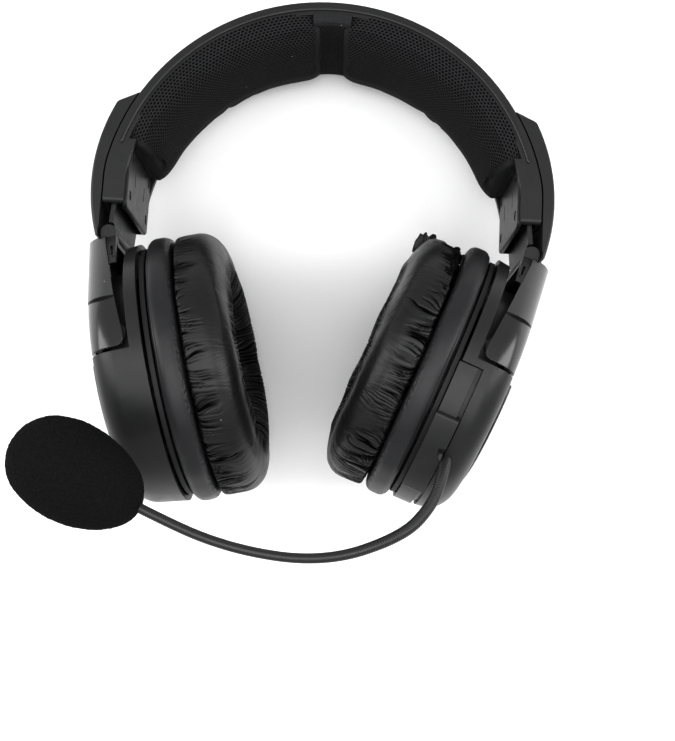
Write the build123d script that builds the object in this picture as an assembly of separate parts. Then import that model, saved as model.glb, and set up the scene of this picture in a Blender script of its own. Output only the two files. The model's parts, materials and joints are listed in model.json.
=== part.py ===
from build123d import *
import math
import os

# Wireless over-ear gaming headset, in millimetres.
#
# Three frames are used.
#   Headset frame: X to the wearer's left, Y up to the crown, Z to the front.
#     Its origin is midway between the ears.
#   Cup frame: X outward from the head, Y up, Z to the front. Its origin is the centre of
#     the seam between the ear pad and the base ring. A cup is drawn for the wearer's left
#     and mirrored for the right.
#   Row frame: the headset lies on its back on a table. +Z is up from the table, +Y points
#     to the crown, and the origin is the middle of the footprint.

SIDES = {"left": 1, "right": -1}

# Headband
BAND_RADIUS = 85.5          # outer face over the crown
BAND_CENTRE_Y = 57.5
BAND_SHOULDER_RADIUS = 40.0  # tighter bend that brings the ends upright
BAND_SHOULDER_ANGLE = 12.0   # where the tighter bend starts, above horizontal
BAND_HALF_WIDTH = 24.0
BAND_DEPTH = 5.2            # thickness of the channel over the crown
BAND_SKIN = 1.5
BAND_WALL = 2.2             # thickness of the channel's side walls
BAND_END_Y = 57.0
HOUSING_DEPTH = 8.0         # thickness of the channel where it houses the slider
HOUSING_TOP_Y = 82.6

# Headband pads
PAD_RADIUS_INNER = 71.0
PAD_HALF_WIDTH = 22.5
PAD_LOW_ANGLE = 19.4
PAD_HIGH_ANGLE = 87.3

# Outer housing covers
COVER_RADIUS = 72.6
COVER_CENTRE = (17.0, 65.6)
COVER_TOP_ANGLE = 26.5
COVER_BOTTOM_ANGLE = -17.5
COVER_GAP = 0.6
COVER_WALL = 1.8

# Fold hinge and slider
HINGE_X = 81.6
HINGE_Y = 45.5
PIN_RADIUS = 1.2
RUNNING_CLEARANCE = 0.05
PIN_HALF_LENGTH = 20.8      # it ends inside the ears
BARREL_RADIUS = 3.0
BARREL_HALF_LENGTH = 17.0
SLIDE_TILT = 4.6            # degrees the arm leans in towards the crown
ARM_THICKNESS = 1.8
ARM_HALF_WIDTH = 20.5
ARM_TOP = 36.5              # above the hinge, along the arm

# Cups, in the cup frame
CUP_TILT = {"left": 20.9, "right": 13.7}   # lean of each cup as the headset lies
HINGE_IN_CUP = (23.5, 54.5)
CUP_RADIUS = 51.5
CUP_RIM_X = 13.2
CUP_FACE_X = 33.0
CUP_CORNER = 10.0
CUP_TAPER = 2.5             # how much narrower the face is than the rim
CUP_WALL = 2.2
NOTCH_X = 17.8              # the yoke sits outside this plane
STEP_Y = 3.0                # and above this one
YOKE_BOTTOM_Y = 4.4
PLATE_THICKNESS = 1.5
YOKE_THICKNESS = 2.2
YOKE_PLATE_GAP = 0.1
NECK_TOP_Y = 52.4
NECK_CORNER = 8.5
NECK_LOW_Y = 24.0
NECK_HALF_WIDTHS = (45.0, 24.0)   # at its foot and at its top
NECK_STEP = 0.25            # how far the neck's face lies under the dome's
PIVOT = (23.0, 10.0)
PIVOT_RADIUS = 1.6
INNER_HOUSING_INSET = 6.5

# Cushions
EAR_PAD_DEPTH = 21.5
EAR_PAD_RADIUS = 52.3
EAR_PAD_OPENING = 25.0
RING_DEPTH = 10.2
RING_RADIUS = 52.8

# Microphone, on the left cup
TRACK_X = (12.6, 19.6)
TRACK_RADIUS = (48.9, 50.9)
POD_X = (12.2, 20.8)
POD_RADIUS = (51.2, 53.4)
POD_ANGLES = (22.0, 62.0)   # below the front
BOOM_RADIUS = 2.1
# Route of the gooseneck in the headset frame, from inside the pod to inside the foam.
BOOM_ROUTE = [
    (49.2, -33.4, 42.6),
    (47.3, -41.0, 45.4),
    (44.2, -52.6, 49.0),
    (34.0, -63.6, 55.5),
    (8.0, -73.2, 63.0),
    (-24.0, -70.0, 66.0),
    (-52.0, -59.2, 67.0),
    (-70.0, -50.6, 67.0),
]
FOAM_CENTRE = (-76.8, -47.5, 67.0)
FOAM_LENGTH = 48.0
FOAM_DIAMETER = 33.5

OUT = "parts"


# ---------------------------------------------------------------- helpers

def turned(points, corners=(), radius=0.0):
    """Solid turned about X from an outline of (x, r) points, with some corners rounded."""
    face = make_face(Polyline(*points, close=True))
    if corners:
        picked = [v for v in face.vertices() if any(is_at(v, points[i]) for i in corners)]
        face = fillet(picked, radius)
    return revolve(face, axis=Axis.X, revolution_arc=360)


def is_at(vertex, point):
    return abs(vertex.X - point[0]) < 1e-4 and abs(vertex.Y - point[1]) < 1e-4


def block(x0, x1, y0, y1, z0, z1):
    """Box between two corners."""
    centre = ((x0 + x1) / 2, (y0 + y1) / 2, (z0 + z1) / 2)
    return Pos(*centre) * Box(abs(x1 - x0), abs(y1 - y0), abs(z1 - z0))


def disc_x(x0, x1, radius, y=0.0, z=0.0):
    """Cylinder along X."""
    return Pos((x0 + x1) / 2, y, z) * Rot(0, 90, 0) * Cylinder(radius, x1 - x0)


def rod_z(x, y, z0, z1, radius):
    """Cylinder along Z."""
    return Pos(x, y, (z0 + z1) / 2) * Cylinder(radius, z1 - z0)


def polar(centre, radius, degrees):
    angle = math.radians(degrees)
    return (centre[0] + radius * math.cos(angle), centre[1] + radius * math.sin(angle))


def around_x(shape, degrees_below_front):
    """Turn a shape drawn at the front of a cup down around the cup's axis."""
    return Rot(degrees_below_front, 0, 0) * shape


def sided(shape, side):
    """A shape drawn for the left side, put on the side that is asked for."""
    return shape if side == "left" else mirror(shape, about=Plane.YZ)


def cup_location(side):
    """Cup frame to headset frame."""
    sign = SIDES[side]
    hinge = Pos(sign * HINGE_X, HINGE_Y, 0)
    back = Pos(-sign * HINGE_IN_CUP[0], -HINGE_IN_CUP[1], 0)
    return hinge * Rot(0, 0, -sign * CUP_TILT[side]) * back


def slide_location(side):
    """Slider frame, with Y up along the arm from the hinge, to headset frame."""
    sign = SIDES[side]
    return Pos(sign * HINGE_X, HINGE_Y, 0) * Rot(0, 0, sign * SLIDE_TILT)


def on_cup(shape, side):
    return cup_location(side) * sided(shape, side)


def on_slide(shape, side):
    return slide_location(side) * sided(shape, side)


# ---------------------------------------------------------------- headband

def band_half(depth, end_y):
    """Edges of the band's right half at a depth under the outer face, crown to end."""
    centre = (0.0, BAND_CENTRE_Y)
    radius = BAND_RADIUS - depth
    shoulder = polar(centre, BAND_RADIUS - BAND_SHOULDER_RADIUS, BAND_SHOULDER_ANGLE)
    bend = BAND_SHOULDER_RADIUS - depth
    crown = (0.0, BAND_CENTRE_Y + radius)
    middle = polar(centre, radius, (90 + BAND_SHOULDER_ANGLE) / 2)
    start = polar(centre, radius, BAND_SHOULDER_ANGLE)
    half_way = polar(shoulder, bend, BAND_SHOULDER_ANGLE / 2)
    upright = (shoulder[0] + bend, shoulder[1])
    end = (upright[0], end_y)
    return ThreePointArc(crown, middle, start), ThreePointArc(start, half_way, upright), Line(upright, end)


def band_strip(depth_out, depth_in, half_width, end_y=BAND_END_Y):
    """A strip that follows the whole band between two depths."""
    outer = band_half(depth_out, end_y)
    inner = band_half(depth_in, end_y)
    across_end = Line(outer[2] @ 1, inner[2] @ 1)
    across_crown = Line(outer[0] @ 0, inner[0] @ 0)
    face = make_face(Wire([*outer, across_end, *inner, across_crown]))
    half = extrude(face, half_width, both=True)
    return half + mirror(half, about=Plane.YZ)


def housing_blank(depth_out, depth_in, half_width, bottom_y, top_y):
    """The thicker end of the band on the left side, between two heights."""
    x_out = polar((0, 0), BAND_RADIUS - BAND_SHOULDER_RADIUS, BAND_SHOULDER_ANGLE)[0]
    x_out += BAND_SHOULDER_RADIUS
    strip = band_strip(depth_out, depth_in, half_width)
    return strip & block(x_out - 30, x_out + 5, bottom_y, top_y, -half_width, half_width)


def headband_shell():
    """Channel with side walls, deeper at both ends to house the sliders."""
    outside = band_strip(0, BAND_DEPTH, BAND_HALF_WIDTH)
    hollow = band_strip(BAND_SKIN, BAND_DEPTH + 1, BAND_HALF_WIDTH - BAND_WALL)
    shell = outside - hollow
    end = housing_blank(0, HOUSING_DEPTH, BAND_HALF_WIDTH, BAND_END_Y, HOUSING_TOP_Y)
    end -= housing_blank(BAND_SKIN, HOUSING_DEPTH + 1, BAND_HALF_WIDTH - BAND_WALL, 0, 200)
    shell = shell + end + mirror(end, about=Plane.YZ)
    corners = [e for e in shell.edges().filter_by(Axis.X) if e.center().Y < BAND_END_Y + 0.1]
    outer = [e for e in corners if abs(abs(e.center().Z) - BAND_HALF_WIDTH) < 0.01]
    return fillet(outer, 1.6)


def headband_liner():
    """Inner strip that closes the channel between the two slider housings."""
    strip = band_strip(BAND_DEPTH - 1.4, BAND_DEPTH, BAND_HALF_WIDTH - BAND_WALL - 0.15)
    return strip & block(-200, 200, HOUSING_TOP_Y + 0.3, 300, -50, 50)


def headband_spring():
    strip = band_strip(BAND_SKIN + 0.3, BAND_SKIN + 1.1, 8.0)
    return strip & block(-200, 200, HOUSING_TOP_Y + 4, 300, -50, 50)


def headband_wire():
    """Flat wire pair beside the spring, inside the channel."""
    strip = Pos(0, 0, 14) * band_strip(BAND_SKIN + 0.4, BAND_SKIN + 1.6, 0.9)
    return strip & block(-200, 200, HOUSING_TOP_Y + 4, 300, -50, 50)


def headband_pad(side):
    """One crowned pad from the valley at the crown down to the slider housing."""
    centre = (0.0, BAND_CENTRE_Y)
    outer = BAND_RADIUS - BAND_DEPTH - 0.3
    middle = (PAD_LOW_ANGLE + PAD_HIGH_ANGLE) / 2
    points = [polar(centre, radius, angle) for radius, angle in (
        (outer, PAD_LOW_ANGLE), (outer, middle), (outer, PAD_HIGH_ANGLE),
        (PAD_RADIUS_INNER, PAD_HIGH_ANGLE), (PAD_RADIUS_INNER, middle), (PAD_RADIUS_INNER, PAD_LOW_ANGLE))]
    face = make_face(Wire([
        ThreePointArc(*points[0:3]),
        Line(points[2], points[3]),
        ThreePointArc(*points[3:6]),
        Line(points[5], points[0]),
    ]))
    pad = extrude(face, PAD_HALF_WIDTH, both=True)
    reach = PAD_RADIUS_INNER + 0.5
    inner = [e for e in pad.edges() if math.dist((e.center().X, e.center().Y), centre) < reach]
    return sided(fillet(inner, 4.0), side)


def housing_cover(side):
    """Bulged cover over the end of the band, cut away round the hinge barrel."""
    top = polar(COVER_CENTRE, COVER_RADIUS, COVER_TOP_ANGLE)
    bottom = polar(COVER_CENTRE, COVER_RADIUS, COVER_BOTTOM_ANGLE)
    bulge = polar(COVER_CENTRE, COVER_RADIUS, (COVER_TOP_ANGLE + COVER_BOTTOM_ANGLE) / 2)
    inner = band_half(-COVER_GAP, bottom[1])
    inside_top = polar((0.0, BAND_CENTRE_Y), BAND_RADIUS + COVER_GAP, 31.0)
    outline = [
        ThreePointArc(top, bulge, bottom),
        Line(bottom, inner[2] @ 1),
        inner[2],
        inner[1],
        ThreePointArc(inner[1] @ 0, polar((0.0, BAND_CENTRE_Y), BAND_RADIUS + COVER_GAP, 21.0), inside_top),
        Line(inside_top, top),
    ]
    face = make_face(Wire(outline))
    rounded = [v for v in face.vertices() if math.dist((v.X, v.Y), top) < 0.01]
    face = fillet(rounded, 3.0)
    cover = extrude(face, BAND_HALF_WIDTH, both=True)
    on_side = lambda edge: abs(abs(edge.center().Z) - BAND_HALF_WIDTH) < 0.01
    long_edges = [e for e in cover.edges() if e.length > 30 and on_side(e)]
    outer_edges = [e for e in long_edges if math.dist((e.center().X, e.center().Y), COVER_CENTRE) > 70]
    cover = fillet(outer_edges, 1.0)
    pocket = rod_z(*COVER_CENTRE, -20.5, 20.5, COVER_RADIUS - COVER_WALL)
    pocket &= block(60, 120, 55, 92, -20.5, 20.5)
    cover -= pocket
    cover -= rod_z(HINGE_X, HINGE_Y, -30, 30, BARREL_RADIUS + 0.8)
    return sided(cover, side)


def screw_places():
    """Height and front-back place of the four screws in a slider block."""
    return [(y, z) for y in (BAND_END_Y + 5.0, HOUSING_TOP_Y - 4.5) for z in (-16.5, 16.5)]


def housing_inner_x():
    """X of the inner face of the slider housing, where it is upright."""
    shoulder_x = (BAND_RADIUS - BAND_SHOULDER_RADIUS) * math.cos(math.radians(BAND_SHOULDER_ANGLE))
    return shoulder_x + BAND_SHOULDER_RADIUS - HOUSING_DEPTH


def slider_block(side):
    """Plate that closes the slider housing, with a lip that guides the arm."""
    x = housing_inner_x()
    half = BAND_HALF_WIDTH - BAND_WALL - 0.15
    plate = block(x - 0.9, x + 0.7, BAND_END_Y - 0.8, HOUSING_TOP_Y - 0.2, -half, half)
    plate = fillet(plate.edges().filter_by(Axis.X), 2.5)
    inner = [e for e in plate.edges() if e.center().X < x - 0.85]
    plate = fillet(inner, 0.6)
    for y, z in screw_places():
        plate -= disc_x(x - 2, x + 2, 1.1, y, z)
        plate -= disc_x(x - 2, x + 0.1, 2.0, y, z)
    for z in (-9.0, 9.0):
        plate -= block(x - 2, x - 0.6, HOUSING_TOP_Y - 15, HOUSING_TOP_Y - 9, z - 0.5, z + 0.5)
    return sided(plate, side)


def block_screws(side):
    """Four small pan-head screws, joined to one node."""
    x = housing_inner_x()
    screws = []
    for y, z in screw_places():
        screw = disc_x(x - 0.6, x + 0.1, 1.8, y, z) + disc_x(x + 0.1, x + 0.7, 1.0, y, z)
        screw -= block(x - 1, x - 0.2, y - 1.2, y + 1.2, z - 0.2, z + 0.2)
        screw -= block(x - 1, x - 0.2, y - 0.2, y + 0.2, z - 1.2, z + 1.2)
        screws.append(sided(screw, side))
    return screws


# ---------------------------------------------------------------- sliders

def slider_arm(side):
    """Flat arm that slides in the band's end, with the middle barrel of the fold hinge."""
    half = ARM_THICKNESS / 2
    plate = block(-half, half, 0, ARM_TOP, -ARM_HALF_WIDTH, ARM_HALF_WIDTH)
    top = [e for e in plate.edges().filter_by(Axis.X) if e.center().Y > ARM_TOP - 1]
    plate = fillet(top, 3.0)
    plate -= block(-5, 5, -1, BARREL_RADIUS + 1.2, BARREL_HALF_LENGTH, 40)
    plate -= block(-5, 5, -1, BARREL_RADIUS + 1.2, -40, -BARREL_HALF_LENGTH)
    for step in range(8):
        y = ARM_TOP - 6 - step * 2.5
        plate -= block(-half - 1, -half + 0.4, y - 0.5, y + 0.5, 6, 12)
    barrel = rod_z(0, 0, -BARREL_HALF_LENGTH, BARREL_HALF_LENGTH, BARREL_RADIUS)
    arm = plate + barrel
    arm -= rod_z(0, 0, -30, 30, PIN_RADIUS)
    return on_slide(arm, side)


def fold_pin(side):
    return on_slide(rod_z(0, 0, -PIN_HALF_LENGTH + 0.2, PIN_HALF_LENGTH - 0.2, PIN_RADIUS), side)


# ---------------------------------------------------------------- yokes and cups

def wall_radius(x, inset=0.0):
    """Radius of the cup's tapered side wall at an X, moved inward by an inset."""
    return CUP_RADIUS - inset - CUP_TAPER * (x - CUP_RIM_X) / (CUP_FACE_X - CUP_RIM_X)


def dome(inset, from_x=CUP_RIM_X):
    """Solid of the cup's outer form, moved inward by an inset."""
    face_x = CUP_FACE_X - inset
    points = [(from_x, 0.0), (from_x, wall_radius(from_x, inset)),
              (face_x, wall_radius(face_x, inset)), (face_x, 0.0)]
    return turned(points, corners=(2,), radius=max(CUP_CORNER - inset, 3.0))


def yoke_form(inset, from_x):
    """Solid of the dome with the neck that narrows up to the hinge, moved inward by an inset."""
    face_x = CUP_FACE_X - NECK_STEP - inset
    low, high = NECK_HALF_WIDTHS[0] - inset, NECK_HALF_WIDTHS[1] - inset
    outline = Polyline((NECK_LOW_Y, -low), (NECK_LOW_Y, low), (NECK_TOP_Y, high),
                       (NECK_TOP_Y, -high), close=True)
    stem = Pos(from_x, 0, 0) * extrude(Plane.YZ * make_face(outline), face_x - from_x)
    slanted = [e for e in stem.edges() if e.center().X > face_x - 0.1
               and abs(e.center().Z) > high]
    return dome(inset, from_x) + fillet(slanted, NECK_CORNER - inset)


def outside_line(points):
    """Everything outward of a line of (x, y) points, all the way across a cup."""
    far = CUP_FACE_X + 5
    outline = Polyline(*points, (far, points[-1][1]), (far, points[0][1]), close=True)
    return extrude(make_face(outline), CUP_RADIUS + 5, both=True)


def yoke(side):
    """Fork frame under the glossy plate, with hinge ears, arch and pivot bosses."""
    outside = PLATE_THICKNESS + YOKE_PLATE_GAP
    inside = outside + YOKE_THICKNESS
    body = yoke_form(outside, 15.0) - yoke_form(inside, 10.0)
    arch = (21.9, 37.0)
    body &= outside_line([(20.2, YOKE_BOTTOM_Y + 0.6), (23.4, arch[1]), (20.9, arch[1]),
                          (20.9, NECK_TOP_Y)])
    body -= rod_z(*arch, -40, 40, 2.4)
    half = BAND_HALF_WIDTH - inside
    body += block(20.9, CUP_FACE_X - inside, 48.2, 50.4, -half - 0.5, half + 0.5)
    # Ears either side of the arm's barrel.
    x, y = HINGE_IN_CUP
    for sign in (-1, 1):
        z0, z1 = sorted((sign * (BARREL_HALF_LENGTH + 0.4), sign * (BAND_HALF_WIDTH - 2.0)))
        body += rod_z(x, y, z0, z1, BARREL_RADIUS)
        body += block(x - 2.6, x + BARREL_RADIUS, 49.0, y, z0, z1)
    body -= rod_z(x, y, -PIN_HALF_LENGTH, PIN_HALF_LENGTH, PIN_RADIUS + RUNNING_CLEARANCE)
    # Room for the barrel to turn between the ears.
    room = BARREL_HALF_LENGTH + 0.4
    body -= rod_z(x, y, -room, room, BARREL_RADIUS + 0.5)
    # Two slots in the front face of the neck.
    front = BAND_HALF_WIDTH - outside - 0.9
    body -= block(22.0, 22.9, 43.0, 47.6, front, 30)
    body -= block(21.4, 22.2, 40.4, 42.4, front, 30)
    for sign in (-1, 1):
        z0, z1 = sorted((sign * 43.1, sign * 46.0))
        body += rod_z(*PIVOT, z0, z1, 4.0) & dome(outside + 0.3, 10.0)
    body -= rod_z(*PIVOT, -46.2, 46.2, PIVOT_RADIUS)
    return on_cup(body, side)


def yoke_plate(side):
    """Glossy outer plate, flush with the lower half of the cup."""
    shell = yoke_form(0, 15.0) - yoke_form(PLATE_THICKNESS, 10.0)
    inner_edge = [(19.4, YOKE_BOTTOM_Y), (19.6, YOKE_BOTTOM_Y + 5), (24.4, 49.0), (24.4, NECK_TOP_Y)]
    shell &= outside_line(inner_edge)
    corners = [e for e in shell.edges() if e.length < 3.0 and e.center().Y < YOKE_BOTTOM_Y + 0.1
               and e.center().X < 20]
    return on_cup(fillet(corners, 3.0) if corners else shell, side)


def pivot_pins(side):
    """Two pins between the fork and the cup, joined to one node."""
    pins = []
    for sign in (-1, 1):
        z0, z1 = sorted((sign * 38.5, sign * 45.6))
        pins.append(on_cup(rod_z(*PIVOT, z0, z1, PIVOT_RADIUS), side))
    return pins


def upper_cut(x, y):
    """Everything above a step and outside a plane."""
    return block(x, CUP_FACE_X + 10, y, CUP_RADIUS + 20, -CUP_RADIUS - 20, CUP_RADIUS + 20)


def cup_shell(side):
    """Lower dome, full rim, and the smaller housing that the yoke goes round."""
    wall = CUP_WALL
    shell = dome(0) - upper_cut(NOTCH_X, STEP_Y)
    housing = dome(INNER_HOUSING_INSET) & block(0, 40, STEP_Y - 2, 36, -42.6, 42.6)
    shell = shell + housing
    cavity = dome(wall, CUP_RIM_X - 1) - upper_cut(NOTCH_X - wall, STEP_Y - wall)
    room = dome(INNER_HOUSING_INSET + wall, CUP_RIM_X - 1) & block(0, 40, -10, 36 - wall, -60, 60)
    shell = shell - cavity - room
    for sign in (-1, 1):
        z0, z1 = sorted((sign * 37.4, sign * 41.5))
        shell += rod_z(*PIVOT, z0, z1, 3.4)
    shell -= rod_z(*PIVOT, -60, 60, PIVOT_RADIUS + RUNNING_CLEARANCE)
    for y, z in cup_screw_places():
        post = disc_x(CUP_RIM_X, 31.4, 3.0, y, z) - disc_x(CUP_RIM_X - 1, 24.0, 1.2, y, z)
        shell += post & dome(wall / 2)
    if side == "left":
        shell -= mic_channel()
        shell += channel_wall()
        shell = cut_controls(shell)
    else:
        shell -= port_opening()
    return on_cup(shell, side)


def below_front(radius, degrees):
    """(y, z) of a point on the cup, at an angle below the front."""
    angle = math.radians(degrees)
    return (-radius * math.sin(angle), radius * math.cos(angle))


def cup_screw_places():
    """Four screws round the lower half of the cup."""
    return [below_front(38.0, 20), below_front(38.0, 55), below_front(38.0, 84), below_front(36.0, 177)]


def outer_cap(side):
    """Raised half-round cap on the lower half of the outer face."""
    cap = disc_x(CUP_FACE_X, CUP_FACE_X + 1.5, 36.0)
    cap &= block(0, 50, -60, STEP_Y - 1.4, -60, 60)
    rim = [e for e in cap.edges() if e.center().X > CUP_FACE_X + 1.45]
    cap = fillet(rim, 0.9)
    oval = Pos(CUP_FACE_X + 1.5, -17, 0) * Rot(0, 90, 0)
    groove = extrude(oval * (Ellipse(19, 9) - Ellipse(18.2, 8.2)), -0.5)
    cap -= groove
    return on_cup(cap, side)


def baffle(side):
    plate = turned([(10.5, 21.5), (10.5, 49.4), (12.3, 49.4), (12.3, 21.5)])
    for y, z in cup_screw_places():
        plate -= disc_x(5, 20, 1.4, y, z)
    return on_cup(plate, side)


def driver(side):
    """Loudspeaker: basket, magnet and a domed front."""
    outline = [(13.4, 0.0), (12.4, 8.0), (11.8, 16.0), (10.8, 19.5), (10.8, 21.3), (14.5, 21.3),
               (14.5, 15.0), (19.0, 15.0), (19.0, 10.0), (22.0, 10.0), (22.0, 0.0)]
    return on_cup(turned(outline), side)


def driver_grille(side):
    guard = disc_x(8.6, 9.8, 30.0)
    for ring, count in ((7.0, 8), (14.0, 14), (21.0, 20)):
        for index in range(count):
            y, z = polar((0, 0), ring, index * 360 / count)
            guard -= disc_x(8, 11, 1.6, y, z)
    return on_cup(guard, side)


def base_ring(side):
    points = [(0.0, 41.5), (0.0, RING_RADIUS), (RING_DEPTH, RING_RADIUS), (RING_DEPTH, 41.5)]
    return on_cup(turned(points, corners=(1, 2), radius=4.2), side)


def ear_pad(side):
    x0, x1 = -EAR_PAD_DEPTH, -0.3
    points = [(x0, EAR_PAD_OPENING), (x0, EAR_PAD_RADIUS), (x1, EAR_PAD_RADIUS), (x1, EAR_PAD_OPENING)]
    face = make_face(Polyline(*points, close=True))
    crown = [v for v in face.vertices() if v.X < x0 + 0.01]
    face = fillet(crown, 9.0)
    seam = [v for v in face.vertices() if v.X > x1 - 0.01]
    face = fillet(seam, 3.0)
    return on_cup(revolve(face, axis=Axis.X, revolution_arc=360), side)


def cup_screws(side):
    screws = []
    for y, z in cup_screw_places():
        screw = disc_x(9.2, 10.5, 2.2, y, z) + disc_x(10.5, 21.0, 1.1, y, z)
        screws.append(on_cup(screw, side))
    return screws


# ---------------------------------------------------------------- microphone

def arc_band(x_span, r_span, angle_low, angle_high):
    """Part of a ring about the cup's axis, between two angles below the front."""
    (x0, x1), (r0, r1) = x_span, r_span
    face = make_face(Polyline((x0, r0), (x1, r0), (x1, r1), (x0, r1), close=True))
    front = Rot(90, 0, 0) * face
    band = revolve(front, axis=Axis.X, revolution_arc=angle_high - angle_low)
    return Rot(angle_low, 0, 0) * band


def mic_channel():
    """Channel round the lower half of the left cup, which holds the track."""
    return arc_band((CUP_RIM_X - 2, 21.4), (TRACK_RADIUS[0] - 0.2, CUP_RADIUS + 3), 0.0, 180.0)


def channel_wall():
    """Floor of the channel."""
    return arc_band((CUP_RIM_X, 23.0), (TRACK_RADIUS[0] - 1.8, TRACK_RADIUS[0] - 0.2), 0.0, 180.0)


def mic_track():
    """Strip in the channel, from the front round the bottom to the back."""
    return on_cup(arc_band(TRACK_X, TRACK_RADIUS, 0.4, 179.6), "left")


def mic_pod():
    """Pod that rides on the track, with a recess that the boom leaves from."""
    low, high = POD_ANGLES
    pod = arc_band(POD_X, POD_RADIUS, low, high)
    skirt = arc_band((19.9, POD_X[1]), (TRACK_RADIUS[0] + 0.1, POD_RADIUS[0]), low, high)
    pod += skirt
    outer = [e for e in pod.edges() if e.length < 12 and radius_of(e) > POD_RADIUS[0] + 0.5]
    pod = fillet([e for e in outer if abs(e.center().X - sum(POD_X) / 2) < 0.1], 1.0)
    pod -= boom_blank(BOOM_RADIUS + 0.9)
    return on_cup(pod, "left")


def radius_of(edge):
    return math.hypot(edge.center().Y, edge.center().Z)


def boom_blank(radius):
    """The first stretch of the gooseneck, in the cup frame, for cutting its recess."""
    ends = [cup_location("left").inverse() * Pos(*point) for point in BOOM_ROUTE[:2]]
    a, b = (Vector(*end.position) for end in ends)
    path = Line(a, b)
    profile = Plane(origin=a, z_dir=b - a) * Circle(radius)
    return sweep(profile, path=path)


def boom_path():
    """Gooseneck route: straight runs with tangent arcs as large as the runs allow."""
    points = [Vector(*p) for p in BOOM_ROUTE]
    radii = []
    for before, here, after in zip(points, points[1:], points[2:]):
        turn = math.radians((here - before).get_angle(after - here))
        run = min((here - before).length, (after - here).length)
        radii.append(0.45 * run / math.tan(turn / 2))
    return FilletPolyline(*points, radius=radii)


def tube(radius, path):
    start = path @ 0
    profile = Plane(origin=start, z_dir=path % 0) * Circle(radius)
    return sweep(profile, path=path)


def mic_boom():
    return tube(BOOM_RADIUS, boom_path())


def foam_location():
    """Frame at the middle of the foam, with Z pointing out along the boom."""
    before, last = (Vector(*p) for p in BOOM_ROUTE[-2:])
    return Plane(origin=Vector(*FOAM_CENTRE), z_dir=last - before).location


def mic_foam():
    """Egg-shaped windscreen with a hollow for the capsule and the boom."""
    radius = FOAM_DIAMETER / 2
    widest = 0.56 * FOAM_LENGTH
    narrow_end = Spline((0, -widest), (radius * 0.71, -widest * 0.71), (radius, 0), tangents=((1, 0), (0, 1)))
    wide_end = Spline((radius, 0), (radius * 0.72, widest * 0.56), (0, FOAM_LENGTH - widest),
                      tangents=((0, 1), (-1, 0)))
    outline = make_face(Wire([narrow_end, wide_end, Line(wide_end @ 1, narrow_end @ 0)]))
    egg = revolve(Rot(90, 0, 0) * outline, axis=Axis.Z, revolution_arc=360)
    egg -= Pos(0, 0, -12) * Cylinder(4.6, 36)
    return foam_location() * egg


def mic_capsule():
    """Capsule holder on the end of the boom, inside the foam."""
    holder = Pos(0, 0, -5) * Cylinder(4.2, 18)
    holder = fillet(holder.edges(), 1.0)
    return foam_location() * holder - tube(BOOM_RADIUS, boom_path())


# ---------------------------------------------------------------- inside and controls

WHEEL_ANGLE = 143.0         # below the front: on the lower back of the cup
POWER_ANGLE = 122.0
MUTE_ANGLE = 163.0
JACK_ANGLE = 102.0
CONTROL_X = 27.0
WHEEL_RADIUS = 8.0
WHEEL_CENTRE_R = 41.4
JACK_RADIUS = 1.8
JACK_DEPTH = 12.0


def cut_controls(shell):
    """Openings for the volume wheel, the two buttons and the socket."""
    slot = block(CONTROL_X - 2.2, CONTROL_X + 2.2, -7.2, 7.2, 40, 60)
    shell -= around_x(slot, WHEEL_ANGLE)
    for angle in (POWER_ANGLE, MUTE_ANGLE):
        shell -= around_x(button_blank(0.25, 40), angle)
    shell -= around_x(Pos(CONTROL_X - 1, 0, 50) * Cylinder(3.0, 20), JACK_ANGLE)
    return shell


def button_blank(margin, z0):
    """Pill-shaped prism that points out from the cup's axis."""
    pill = SlotOverall(7.0 + 2 * margin, 3.6 + 2 * margin)
    return extrude(Pos(CONTROL_X, 0, z0) * Rot(0, 0, 90) * pill, 60 - z0)


def shell_radius_at(x):
    """Outer radius of the cup at an X on its rounded corner."""
    into_corner = max(x - (CUP_FACE_X - CUP_CORNER), 0.0)
    drop = CUP_CORNER - math.sqrt(CUP_CORNER ** 2 - into_corner ** 2)
    return wall_radius(x) - drop


def button(angle):
    crest = shell_radius_at(CONTROL_X) + 0.9
    shape = button_blank(0.0, 43.0) & disc_x(0, 60, crest)
    return on_cup(around_x(shape, angle), "left")


def volume_wheel():
    wheel = disc_x(CONTROL_X - 1.7, CONTROL_X + 1.7, WHEEL_RADIUS, 0, WHEEL_CENTRE_R)
    for index in range(24):
        y, z = polar((0, WHEEL_CENTRE_R), WHEEL_RADIUS + 0.15, index * 15)
        wheel -= disc_x(0, 60, 0.5, y, z)
    wheel -= disc_x(0, 60, 1.5 + RUNNING_CLEARANCE, 0, WHEEL_CENTRE_R)
    return on_cup(around_x(wheel, WHEEL_ANGLE), "left")


def volume_shaft():
    shaft = disc_x(CONTROL_X - 6.0, CONTROL_X + 1.2, 1.5, 0, WHEEL_CENTRE_R)
    shaft += disc_x(CONTROL_X - 7.5, CONTROL_X - 2.3, 3.4, 0, WHEEL_CENTRE_R)
    return on_cup(around_x(shaft, WHEEL_ANGLE), "left")


def audio_jack():
    """Round-mouthed socket for a 3.5 mm plug."""
    x = CONTROL_X - 1
    body = Pos(x, 0, 37.6) * Box(7, 7, 11.0) + Pos(x, 0, 46.1) * Cylinder(2.8, 6.2)
    body -= Pos(x, 0, 43.2) * Cylinder(JACK_RADIUS, JACK_DEPTH)
    return on_cup(around_x(body, JACK_ANGLE), "left")


def main_board():
    board = disc_x(24.4, 25.8, 31.0) & block(0, 50, -40, -1.5, -50, 50)
    chips = block(23.0, 24.4, -14, -4, -6, 6) + block(23.2, 24.4, -26, -19, 4, 14)
    return on_cup(board + chips, "left")


def radio_board():
    board = block(24.4, 25.6, -12, -1.5, -22, 22) + block(23.2, 24.4, -10, -4, -4, 6)
    return on_cup(board, "right")


def battery():
    pouch = block(23.6, 29.0, -33, -14, -17, 17)
    return on_cup(fillet(pouch.edges(), 1.0), "right")


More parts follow.
